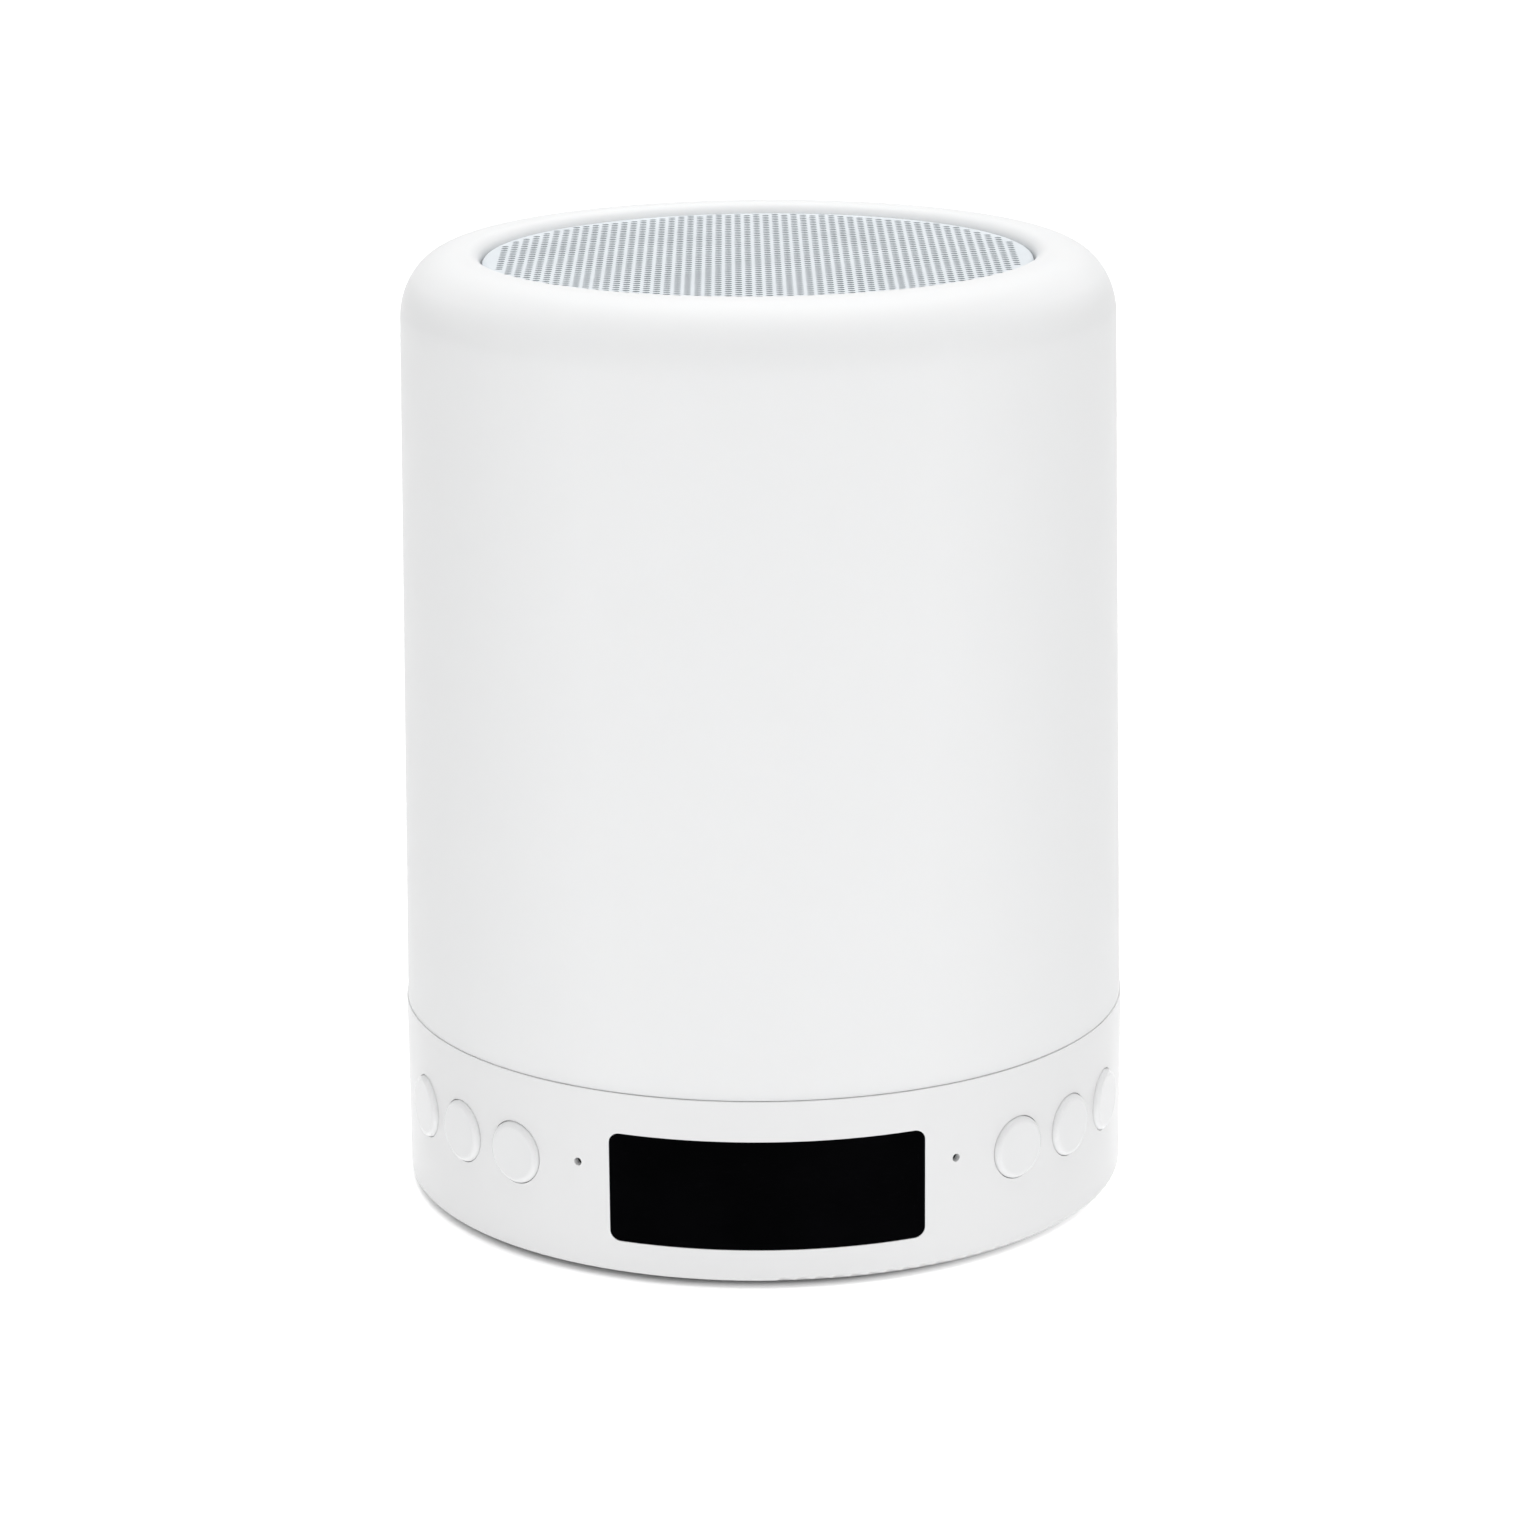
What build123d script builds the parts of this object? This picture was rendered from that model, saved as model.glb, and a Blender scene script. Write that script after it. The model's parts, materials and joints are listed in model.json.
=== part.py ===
from build123d import *

import math
import os

# A round bedside lamp with a touch top, a built-in speaker and a clock window.
# Millimetres. +Z is up, the origin is on the table under the lamp's centre line, and the clock
# window faces -Y. An azimuth is in degrees about +Z, 0 at the window and positive towards +X.

# ------------------------------------------------------------------ overall sizes
overall_height = 117.0       # table to the crest of the shade's rim
base_radius = 45.0           # outside of the white base ring
seam_height = 23.4           # table to the joint between base ring and shade
foot_gap = 0.8               # table to the lower edge of the base ring

# ------------------------------------------------------------------ shells
base_wall = 2.4
base_edge_round = 0.6
seam_edge_round = 0.12
shade_wall = 2.2
rim_thickness = 2.6
shade_setback = 0.15         # the shade starts this far inside the base ring's face
shade_draft = 0.95           # degrees, the shade narrows upwards
seam_gap = 0.08
rim_width = 6.6              # horizontal reach of the rim's outer round
rim_drop = 8.0               # vertical reach of the rim's outer round
rim_lip_round = 1.7          # round from the crest down into the grille recess
rim_inner_round = 3.5
shell_fit = 0.2              # play between nested shells
overcut = 1.0                # how far a cutting shape runs past the material

# ------------------------------------------------------------------ base ring's inner ledge
ledge_width = 5.4
ledge_thickness = 2.4
spigot_wall = 2.0
spigot_height = 3.6
bead_radius = 0.35           # snap bead on the spigot
bead_rise = 2.16             # from the seam to the bead
bead_play = 0.1

# ------------------------------------------------------------------ underside
cover_recess = 0.2           # the cover sits this far above the base ring's edge
cover_thickness = 2.8
foot_width = 5.7
foot_inset = 1.2             # from the cover's edge to the foot's outer edge
foot_seat_depth = 0.6
foot_chamfer = 0.25
cover_screw_rear_azimuth = 120.0
cover_screw_inset = 4.2      # from the base ring's inner wall to the screw's axis
cover_screw_radius = 1.25
cover_screw_head_radius = 2.3
cover_screw_head_height = 1.2
cover_screw_length = 6.0
screw_recess_reach = 1.4     # both arms of a cross recess, as a share of the head's radius
screw_recess_width = 0.35
screw_head_round = 0.4       # as a share of the head's height
boss_radius = 3.2
boss_height = 6.2

# ------------------------------------------------------------------ clock window
window_half_angle = 24.6
window_height = 13.6
window_centre_height = 11.6
window_corner = 1.3
window_least_corner = 0.4
window_thickness = 1.6
window_fit = 0.06
window_border = 1.4          # width of the step that the window is glued to
digit_module_width = 30.0
digit_module_height = 10.6
digit_module_depth = 4.0
digit_height = 8.0
digit_width = 4.2
digit_pitch = 6.4
colon_space = 0.9            # each pair of digits stands this much further out for the colon
colon_dot_radius = 0.6
colon_dot_rise = 2.0
segment_width = 0.9
segment_thickness = 0.3
display_board_margin = 1.0
board_thickness = 1.6
pinhole_offset = 5.4         # degrees from the window's edge to a pinhole
pinhole_height = 14.0
pinhole_radius = 0.5
capsule_radius = 3.0
capsule_length = 2.4
capsule_skin = 0.9           # wall left in front of the microphone and the status light
capsule_wall = 1.1
status_flange_length = 1.2
status_lens_radius = 1.5
status_lens_gap = 0.1

# ------------------------------------------------------------------ push buttons
button_cup_gap = 0.48        # from a capsule's cup to the first button's flange
button_gap = 2.54            # between neighbouring caps, along the base ring's face
button_height = 13.2
button_radius = 3.85
button_hole_play = 0.08
button_proud = 0.55
button_round = 0.75
button_flange_width = 0.6    # beyond the cap's radius
button_flange_thickness = 1.0
button_flange_play = 0.15
button_stroke = 0.4
button_overtravel = 0.1      # gap left between stem and switch when fully pressed
stem_radius = 1.6
stem_length = 2.72
switch_size = 4.6
switch_thickness = 1.5
plunger_radius = 1.1
plunger_length = 0.7
plunger_root = 0.2           # length of the plunger inside the switch
flex_thickness = 0.4
flex_height = 8.0
flex_reach = 6.4             # degrees past the outer buttons
carrier_wall = 1.4
carrier_height = 15.2

# ------------------------------------------------------------------ boards and sockets
main_board_height = 8.0      # table to the underside of the main board
main_board_play = 0.4        # from the switch carriers to the board's edge
rear_tongue_margin = 1.0     # from the inner wall to the board's rear tongue
rear_tongue_span = (139.0, 217.0)
board_front_gap = 1.0        # from the display board to the main board's cut front edge
standoff_circle = 25.0
standoff_azimuths = (60.0, 180.0, 300.0)
standoff_radius = 2.6
board_screw_radius = 1.0
board_screw_head_radius = 1.9
board_screw_head_height = 1.1
board_screw_length = 5.0
capacitor_radius = 3.15
capacitor_height = 7.5
connector_size = (4.4, 4.0, 3.4)         # width beyond the leads' axes, depth, height

card_azimuth = 152.0
card_socket_size = (14.0, 14.5, 1.9)     # width, depth, height
card_slot_size = (11.6, 1.2)
card_stop = 2.0              # end wall that the card stops against
usb_azimuth = 172.0
usb_shell_size = (8.94, 7.4, 3.26)
usb_shell_wall = 0.3
usb_corner_share = 0.48      # of the shell's height, so that its short sides are nearly round
usb_tongue_thickness = 0.7
usb_tongue_recess = 0.8
usb_tongue_share = 0.75      # of the shell's width
usb_back_wall = 1.0
usb_face_recess = 1.2
aux_azimuth = 188.0
aux_body_size = (6.5, 10.8, 5.2)
aux_collar_radius = 2.7
aux_bore_radius = 1.8
aux_back_wall = 1.0
aux_face_recess = 0.6
socket_play = 0.35

power_azimuth = 206.0
power_body_size = (9.0, 3.8, 3.8)
power_knob_size = (3.2, 1.8)             # width, height
power_travel = 2.0
power_knob_play = 0.2
power_knob_recess = 0.4
power_slot_play = 0.4
power_slot_corner = 0.6
power_channel_floor = 0.8
knob_corner = 0.3
knob_groove_size = 0.35
knob_groove_pitch = 0.9

# ------------------------------------------------------------------ battery tube and lights
deck_thickness = 1.8
tube_play = 5.85             # from the cell to the tube's inner wall, where the leads run
tube_wall = 2.0
tube_rim = 1.2               # tube's wall above the cell
tube_floor_height = 15.5
tube_floor_thickness = 1.8
cell_radius = 9.15
cell_head_room = 5.1         # from the cell to the speaker's yoke
cell_edge_round = 0.7
cell_button_radius = 3.0
cell_button_height = 0.8
cell_clip_height = 6.0
cell_clip_inset = 4.0
cell_clip_play = 0.1
contact_thickness = 0.3
lower_contact_radius = 5.0
upper_contact_radius = 4.0
light_board_play = 1.0
light_count = 16
light_size = 5.0
light_thickness = 1.6
light_shift = 2.0            # outwards from the middle of the light board
light_well_radius = 2.0
light_well_depth = 0.3
deck_screw_count = 4
deck_screw_radius = 1.0
deck_screw_head_radius = 1.8
deck_screw_head_height = 1.2
deck_screw_margin = 0.3      # from the screw's head to the deck's edge
screw_hole_play = 0.1

# ------------------------------------------------------------------ speaker and grille
grille_inset = 11.6          # from the base ring's face to the grille's edge
grille_recess = 1.1          # below the crest of the rim
grille_sheet = 0.6
grille_skirt = 3.4
grille_edge_round = 0.7
cup_flange_width = 4.0
cup_flange_thickness = 1.8
cup_wall = 1.7
cup_socket_depth = 8.0
cup_step = 1.0               # height of each sloping step in the cup
bell_play = 2.5              # from the magnet to the bell's wall
bell_rise = 9.0              # from the yoke's underside to the bell's top
frame_inset = 2.4            # from the grille's edge to the frame's edge
frame_play = 0.2
frame_seat_width = 2.8
frame_flange_thickness = 1.2
frame_seat_depth = 2.0
basket_wall = 0.8
basket_play = 0.8
basket_depth = 13.0
basket_floor = 1.2
basket_foot = 0.8            # beyond the magnet's radius
basket_hole_play = 2.0       # beyond the pole's radius
basket_window_width = 14.0
basket_window_corner = 1.5
magnet_radius = 16.5
magnet_height = 5.6
plate_radius = 16.0
plate_thickness = 2.0
pole_radius = 6.4
magnet_gap = 2.6             # from the pole to the magnet
coil_inner_radius = 6.7
coil_outer_radius = 7.1
coil_play = 0.4
coil_height = 10.0
cone_inset = 9.3             # from the frame's edge to the cone's edge
cone_land = 1.5              # flat outer edge of the cone
cone_drop = 0.2              # below the frame's face
cone_overlap = 1.0           # length of coil glued inside the cone's neck
cone_thickness = 0.5
cone_travel = 0.8
surround_gap = 0.3
surround_roll_radius = 2.3
surround_thickness = 0.4
dust_cap_radius = 8.6
dust_cap_rise = 3.0
dust_cap_lift = 0.3          # glue line under the cap's edge
spider_thickness = 0.5
spider_inset = 0.5
gasket_width = 3.6
lead_radius = 0.6
lead_spacing = 2.4
lead_bend = 2.5
lead_play = 3.45             # from the cell's surface to the leads' axes
lead_slot_depth = 3.4        # radial size of the openings that the leads pass through
lead_clip_play = 0.8
lead_stand_off = 1.2         # from the magnet to the leads' axes
lead_drop = 0.6              # from the basket's underside to the leads' ends
wire_floor = 1.4             # lowest air kept under the leads, above the tube's top
touch_pin_radius = 0.55

# ------------------------------------------------------------------ levels and radii worked out
grille_radius = base_radius - grille_inset
frame_radius = grille_radius - frame_inset
cone_radius = frame_radius - cone_inset
tube_radius = cell_radius + tube_play + tube_wall
lead_channel = cell_radius + lead_play
wall_inner = base_radius - base_wall
cover_bottom = foot_gap + cover_recess
cover_top = cover_bottom + cover_thickness
cover_radius = wall_inner - shell_fit
cover_screw_circle = wall_inner - cover_screw_inset
foot_outer_radius = cover_radius - foot_inset
foot_inner_radius = foot_outer_radius - foot_width
screw_head_seat = cover_bottom + foot_seat_depth + cover_screw_head_height
bead_height = seam_height + bead_rise
ledge_bottom = seam_height - ledge_thickness
deck_top = seam_height + deck_thickness
spigot_outer = base_radius - shade_setback - shade_wall - shell_fit
spigot_inner = spigot_outer - spigot_wall
deck_radius = spigot_inner - shell_fit
main_board_top = main_board_height + board_thickness
cell_bottom = tube_floor_height + tube_floor_thickness + contact_thickness
tube_inner = tube_radius - tube_wall
grille_top = overall_height - grille_recess
lip_foot = overall_height - rim_thickness
cup_flange_top = grille_top - grille_skirt
frame_seat = cup_flange_top - frame_seat_depth
frame_top = frame_seat + frame_flange_thickness
basket_bottom = frame_seat - basket_depth
magnet_top = basket_bottom - plate_thickness
magnet_bottom = magnet_top - magnet_height
yoke_bottom = magnet_bottom - plate_thickness
cell_top = yoke_bottom - cell_head_room  # the cell takes the height that is left, here 65.2 mm
tube_top = cell_top + tube_rim
pinhole_azimuth = window_half_angle + pinhole_offset
button_pitch = math.degrees((2 * button_radius + button_gap) / base_radius)
button_flange_radius = button_radius + button_flange_width
button_reach = capsule_radius + capsule_wall + button_cup_gap + button_flange_radius
first_azimuth = pinhole_azimuth + math.degrees(button_reach / wall_inner)
button_azimuths = [first_azimuth + place * button_pitch for place in range(3)]
flange_face = math.sqrt(wall_inner ** 2 - button_flange_radius ** 2) - button_flange_play
flange_back = flange_face - button_flange_thickness
stem_end = flange_back - stem_length
plunger_tip = stem_end - button_stroke - button_overtravel
switch_face = plunger_tip - plunger_length
flex_outer = switch_face - switch_thickness
flex_inner = flex_outer - flex_thickness
carrier_inner = flex_inner - carrier_wall
main_board_radius = carrier_inner - main_board_play
wire_level = 0.5 * (tube_top + wire_floor + yoke_bottom)


# ------------------------------------------------------------------ helpers
def turned(shape, azimuth):
    """The shape, built facing the clock window's side, turned about +Z to an azimuth."""
    return shape.rotate(Axis.Z, azimuth)


def disc(radius, bottom, top):
    """Solid disc or post about the centre line."""
    return Pos(0, 0, bottom) * Cylinder(radius, top - bottom, align=(Align.CENTER, Align.CENTER, Align.MIN))


def post(radius, x, y, bottom, top):
    """Upright round post."""
    return Pos(x, y, 0) * disc(radius, bottom, top)


def ring(inner, outer, bottom, top):
    """Plain ring about the centre line."""
    return disc(outer, bottom, top) - disc(inner, bottom - overcut, top + overcut)


def arc_wall(inner, outer, bottom, top, start, end):
    """Upright curved wall between two azimuths."""
    wedge = Cylinder(outer, top - bottom, arc_size=end - start, align=(Align.NONE, Align.NONE, Align.MIN))
    wall = Pos(0, 0, bottom) * wedge.rotate(Axis.Z, start - 90)
    return wall - disc(inner, bottom - overcut, top + overcut)


def radial_plane(reach, height):
    """Plane facing outwards at the window's side, `reach` from the centre line."""
    return Plane(origin=(0, -reach, height), x_dir=(1, 0, 0), z_dir=(0, -1, 0))


def radial_pin(radius, inner, outer, height):
    """Round pin along the radius at the window's side."""
    pin = Cylinder(radius, outer - inner, align=(Align.CENTER, Align.CENTER, Align.MIN))
    return radial_plane(inner, height) * pin


def radial_block(width, tall, inner, outer, height, corner=0.0):
    """Block along the radius at the window's side, with its four long edges rounded."""
    outline = Rectangle(width, tall) if corner == 0 else RectangleRounded(width, tall, corner)
    return extrude(radial_plane(inner, height) * outline, outer - inner)


def on_circle(circle_radius, azimuth):
    """x and y of a point on a circle at an azimuth."""
    angle = math.radians(azimuth)
    return circle_radius * math.sin(angle), -circle_radius * math.cos(angle)


def revolved(*points):
    """Solid of revolution from a closed outline of (radius, height) points."""
    outline = Polyline(*[(radius, 0, height) for radius, height in points], close=True)
    return revolve(make_face(outline), Axis.Z)


def all_azimuths():
    """Azimuths of the six buttons, right-hand side first."""
    return [side * azimuth for side in (1, -1) for azimuth in button_azimuths]


def save(name, shape):
    """Write one sub-part."""
    export_step(shape, f"parts/{name}.step")


# ------------------------------------------------------------------ base ring
def window_outline(inset):
    """Prism of the clock window's outline through the wall, `inset` smaller all round."""
    half_angle = math.radians(window_half_angle)
    width = 2 * base_radius * math.sin(half_angle) - 2 * inset
    inner = wall_inner * math.cos(half_angle) - base_wall
    corner = max(window_corner - inset, window_least_corner)
    outer = base_radius + overcut
    return radial_block(width, window_height - 2 * inset, inner, outer, window_centre_height, corner)


def outer_edge(shell, place):
    """One of the circular edges of the base ring's outer face, in order of height."""
    circles = shell.edges().filter_by(GeomType.CIRCLE)
    outer = [edge for edge in circles if math.isclose(edge.radius, base_radius, abs_tol=0.01)]
    return ShapeList(outer).sort_by(Axis.Z)[place]


def base_shell():
    """Outer wall, inner ledge, spigot and snap bead, before any opening is cut."""
    shell = revolved(
        (wall_inner, foot_gap),
        (base_radius, foot_gap),
        (base_radius, seam_height),
        (spigot_outer, seam_height),
        (spigot_outer, seam_height + spigot_height),
        (spigot_inner, seam_height + spigot_height),
        (spigot_inner, seam_height),
        (wall_inner - ledge_width, seam_height),
        (wall_inner - ledge_width, ledge_bottom),
        (wall_inner, ledge_bottom),
    )
    shell = fillet(outer_edge(shell, 0), base_edge_round)
    shell = fillet(outer_edge(shell, -1), seam_edge_round)
    return shell + Pos(0, 0, bead_height) * Torus(spigot_outer, bead_radius)


def screw_boss():
    """Boss for one cover screw, tied to the wall by its rib."""
    boss_axis = -cover_screw_circle
    boss = post(boss_radius, 0, boss_axis, cover_top, cover_top + boss_height)
    rib_outer = wall_inner + 0.5 * base_wall
    rib = radial_block(boss_radius, boss_height, -boss_axis, rib_outer, cover_top + 0.5 * boss_height)
    pilot_top = screw_head_seat + cover_screw_length
    pilot = post(cover_screw_radius, 0, boss_axis, cover_top - overcut, pilot_top)
    return boss + rib - pilot


def capsule_cup():
    """Cup inside the wall for the microphone or the status light."""
    outer = base_radius - capsule_skin
    inner = outer - capsule_length
    return radial_pin(capsule_radius + capsule_wall, inner, wall_inner + 0.5 * base_wall, pinhole_height)


def capsule_bore():
    """Bore and pinhole of one capsule cup."""
    outer = base_radius - capsule_skin
    inner = outer - capsule_length
    bore = radial_pin(capsule_radius, inner - overcut, outer, pinhole_height)
    return bore + radial_pin(pinhole_radius, inner, base_radius + overcut, pinhole_height)


def rear_openings():
    """Card slot, USB and aux openings and the power switch's slot."""
    inner, outer = wall_inner - 2 * overcut, base_radius + overcut
    card_width, card_tall = card_slot_size
    usb_width, _, usb_tall = usb_shell_size
    card = radial_block(card_width + socket_play, card_tall + socket_play, inner, outer, card_slot_height())
    usb_corner = 0.5 * usb_tall
    usb = radial_block(
        usb_width + 2 * socket_play, usb_tall + 2 * socket_play, inner, outer, usb_height(), usb_corner)
    aux = radial_pin(aux_collar_radius + socket_play, inner, outer, aux_height())
    knob_width, knob_tall = power_knob_size
    slot_width = knob_width + power_travel + 2 * power_slot_play
    slot_tall = knob_tall + 2 * power_slot_play
    slot = radial_block(slot_width, slot_tall, inner, outer, power_height(), power_slot_corner)
    return [
        turned(card, card_azimuth),
        turned(usb, usb_azimuth),
        turned(aux, aux_azimuth),
        turned(slot, power_azimuth),
    ]


def cover_screw_azimuths():
    """Two bosses under the pinholes and two towards the rear."""
    front, rear = pinhole_azimuth, cover_screw_rear_azimuth
    return [front, rear, -rear, -front]


def base_ring():
    ring_body = base_shell()
    for azimuth in cover_screw_azimuths():
        ring_body += turned(screw_boss(), azimuth)
    for side in (1, -1):
        ring_body += turned(capsule_cup(), side * pinhole_azimuth)
    for side in (1, -1):
        ring_body -= turned(capsule_bore(), side * pinhole_azimuth)
    window_floor = base_radius - window_thickness
    ring_body -= window_outline(0) - disc(window_floor, 0, seam_height)
    ring_body -= window_outline(window_border)
    hole_radius = button_radius + button_hole_play
    hole = radial_pin(hole_radius, wall_inner - 3 * overcut, base_radius + overcut, button_height)
    for azimuth in all_azimuths():
        ring_body -= turned(hole, azimuth)
    for opening in rear_openings():
        ring_body -= opening
    screw_hole = post(
        deck_screw_radius, 0, -deck_screw_circle(), ledge_bottom - overcut, seam_height + overcut)
    for azimuth in deck_screw_azimuths():
        ring_body -= turned(screw_hole, azimuth)
    return ring_body


# ------------------------------------------------------------------ underside
def screw(shank_radius, head_radius, head_height, length, tip_height):
    """Pan-head screw, tip at `tip_height`, pointing down, with a cross recess in its head."""
    head_bottom = tip_height + length
    body = disc(shank_radius, tip_height, head_bottom)
    head = disc(head_radius, head_bottom, head_bottom + head_height)
    head = fillet(head.edges().sort_by(Axis.Z)[-1], screw_head_round * head_height)
    recess_arm = Box(screw_recess_reach * head_radius, screw_recess_width * head_radius, head_height)
    recess = Pos(0, 0, head_bottom + head_height) * (recess_arm + recess_arm.rotate(Axis.Z, 90))
    return body + head - recess


def cover_screw():
    """One cover screw, head down in the cover's pocket and hidden by the foot."""
    upright = screw(
        cover_screw_radius, cover_screw_head_radius, cover_screw_head_height, cover_screw_length, 0)
    upside_down = upright.rotate(Axis.X, 180)
    return Pos(0, -cover_screw_circle, screw_head_seat + cover_screw_length) * upside_down


def cover_screws():
    return Compound(children=[turned(cover_screw(), azimuth) for azimuth in cover_screw_azimuths()])


def foot_ring():
    foot = ring(foot_inner_radius, foot_outer_radius, 0, cover_bottom + foot_seat_depth)
    return chamfer(foot.edges().group_by(Axis.Z)[0], foot_chamfer)


def bottom_cover():
    cover = disc(cover_radius, cover_bottom, cover_top)
    foot_seat_top = cover_bottom + foot_seat_depth
    below = cover_bottom - overcut
    cover -= ring(foot_inner_radius, foot_outer_radius, below, foot_seat_top)
    for azimuth in cover_screw_azimuths():
        x, y = on_circle(cover_screw_circle, azimuth)
        cover -= post(cover_screw_radius + screw_hole_play, x, y, below, cover_top + overcut)
        cover -= post(cover_screw_head_radius + shell_fit, x, y, below, screw_head_seat)
    for azimuth in standoff_azimuths:
        x, y = on_circle(standoff_circle, azimuth)
        cover += post(standoff_radius, x, y, cover_top, main_board_height)
        pilot_bottom = main_board_top - board_screw_length
        cover -= post(board_screw_radius, x, y, pilot_bottom, main_board_height + overcut)
    return cover


# ------------------------------------------------------------------ clock window and its display
def display_window():
    curved = ring(base_radius - window_thickness, base_radius - window_fit, 0, seam_height)
    return curved & window_outline(window_fit)


def digit_module_face():
    """Distance from the centre line to the digit module's flat face."""
    half_width = 0.5 * digit_module_width
    return math.sqrt((wall_inner - shell_fit) ** 2 - half_width ** 2)


def digit_module():
    face = digit_module_face()
    inner = face - digit_module_depth
    return radial_block(digit_module_width, digit_module_height, inner, face, window_centre_height, 0.5)


def digit(centre_x):
    """Seven bars of one digit, lying on the module's face."""
    face = digit_module_face()
    half_height = 0.5 * digit_height
    bars = []
    for level in (-half_height, 0, half_height):
        bars.append((centre_x, level, digit_width - segment_width, segment_width))
    for side in (-1, 1):
        for level in (-0.5, 0.5):
            x = centre_x + side * 0.5 * (digit_width + segment_width)
            bars.append((x, level * half_height, segment_width, half_height - segment_width))
    solids = []
    for x, level, width, tall in bars:
        bar = radial_block(width, tall, face, face + segment_thickness, window_centre_height + level)
        solids.append(Pos(x, 0, 0) * bar)
    return solids


def display_digits():
    bars = []
    for place in (-1.5, -0.5, 0.5, 1.5):
        shift = math.copysign(colon_space, place)
        bars += digit(place * digit_pitch + shift)
    face = digit_module_face()
    for level in (-colon_dot_rise, colon_dot_rise):
        dot_height = window_centre_height + level
        bars.append(radial_pin(colon_dot_radius, face, face + segment_thickness, dot_height))
    return Compound(children=bars)


def display_board():
    back = digit_module_face() - digit_module_depth
    width = digit_module_width + 2 * display_board_margin
    tall = digit_module_height + 2 * display_board_margin
    return radial_block(width, tall, back - board_thickness, back, window_centre_height)


def microphone():
    outer = base_radius - capsule_skin
    can = radial_pin(capsule_radius, outer - capsule_length, outer, pinhole_height)
    return turned(can, -pinhole_azimuth)


def status_light():
    outer = base_radius - capsule_skin
    back = outer - capsule_length
    flange = radial_pin(capsule_radius, back, back + status_flange_length, pinhole_height)
    lens = radial_pin(status_lens_radius, back, outer - status_lens_gap, pinhole_height)
    return turned(flange + lens, pinhole_azimuth)


# ------------------------------------------------------------------ push buttons
def button():
    """Cap, flange and stem of one push button, at the window's side."""
    cap = radial_pin(button_radius, flange_back, base_radius + button_proud, button_height)
    cap = fillet(cap.edges().sort_by(Axis.Y)[0], button_round)
    flange = radial_pin(button_flange_radius, flange_back, flange_face, button_height)
    stem = radial_pin(stem_radius, stem_end, flange_back, button_height)
    return cap + flange + stem


def tact_switch():
    body = radial_block(switch_size, switch_size, flex_outer, switch_face, button_height)
    plunger = radial_pin(plunger_radius, switch_face - plunger_root, plunger_tip, button_height)
    return body + plunger


def tact_switches():
    return Compound(children=[turned(tact_switch(), azimuth) for azimuth in all_azimuths()])


def carrier_span(side):
    """Start and end azimuth of one side's switch strip."""
    ends = (side * (button_azimuths[0] - flex_reach), side * (button_azimuths[-1] + flex_reach))
    return min(ends), max(ends)


def switch_flex(side):
    start, end = carrier_span(side)
    bottom = button_height - 0.5 * flex_height
    return arc_wall(flex_inner, flex_outer, bottom, bottom + flex_height, start, end)


def switch_carrier(side):
    start, end = carrier_span(side)
    return arc_wall(carrier_inner, flex_inner, cover_top, cover_top + carrier_height, start, end)


# ------------------------------------------------------------------ main board and sockets
def card_slot_height():
    return main_board_top + 0.5 * card_socket_size[2]


def usb_height():
    return main_board_top + 0.5 * usb_shell_size[2]


def aux_height():
    return main_board_top + 0.5 * aux_body_size[2]


def power_height():
    return main_board_top + 0.5 * power_body_size[2]


def main_board():
    board = disc(main_board_radius, main_board_height, main_board_top)
    start, end = rear_tongue_span
    tongue_edge = wall_inner - rear_tongue_margin
    tongue_root = 0.9 * main_board_radius
    board += arc_wall(tongue_root, tongue_edge, main_board_height, main_board_top, start, end)
    front_edge = digit_module_face() - digit_module_depth - board_thickness - board_front_gap
    board -= radial_block(2 * base_radius, 4 * board_thickness, front_edge, base_radius, main_board_height)
    for azimuth in standoff_azimuths:
        x, y = on_circle(standoff_circle, azimuth)
        hole_radius = board_screw_radius + screw_hole_play
        board -= post(hole_radius, x, y, main_board_height - overcut, main_board_top + overcut)
    return board


def board_screws():
    one = screw(
        board_screw_radius, board_screw_head_radius, board_screw_head_height,
        board_screw_length, main_board_top - board_screw_length)
    screws = []
    for azimuth in standoff_azimuths:
        x, y = on_circle(standoff_circle, azimuth)
        screws.append(Pos(x, y, 0) * one)
    return Compound(children=screws)


def board_block(x, y, width, depth, tall):
    """Rectangular component standing on the main board."""
    component = Box(width, depth, tall, align=(Align.CENTER, Align.CENTER, Align.MIN))
    return Pos(x, y, main_board_top) * component


def board_chips():
    """Processor, amplifier, memory, charger and two capacitors."""
    return Compound(children=[
        board_block(-10, -21, 7, 7, 1.2),
        board_block(-17, 15, 5, 4, 1.2),
        board_block(10, -21, 5, 5, 1.0),
        board_block(12, 15, 4, 5, 1.0),
        post(capacitor_radius, -24.5, 9, main_board_top, main_board_top + capacitor_height),
        post(capacitor_radius, -26.5, 1.5, main_board_top, main_board_top + capacitor_height),
    ])


def radio_can():
    """Shield can of the Bluetooth radio."""
    can = board_block(22, 3, 14, 11, 2.2)
    return fillet(can.edges().filter_by(Axis.Z), 0.6)


def lead_connectors():
    """Board connectors for the speaker leads and the battery leads."""
    side_width, depth, tall = connector_size
    width = lead_spacing + side_width
    return Compound(children=[board_block(0, side * lead_channel, width, depth, tall) for side in (1, -1)])


def card_socket():
    width, depth, tall = card_socket_size
    face = math.sqrt(wall_inner ** 2 - (0.5 * width) ** 2) - shell_fit
    case = radial_block(width, tall, face - depth, face, card_slot_height())
    slot_width, slot_tall = card_slot_size
    slot_end = face - depth + card_stop
    slot = radial_block(slot_width, slot_tall, slot_end, face + overcut, card_slot_height())
    return turned(case - slot, card_azimuth)


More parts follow.
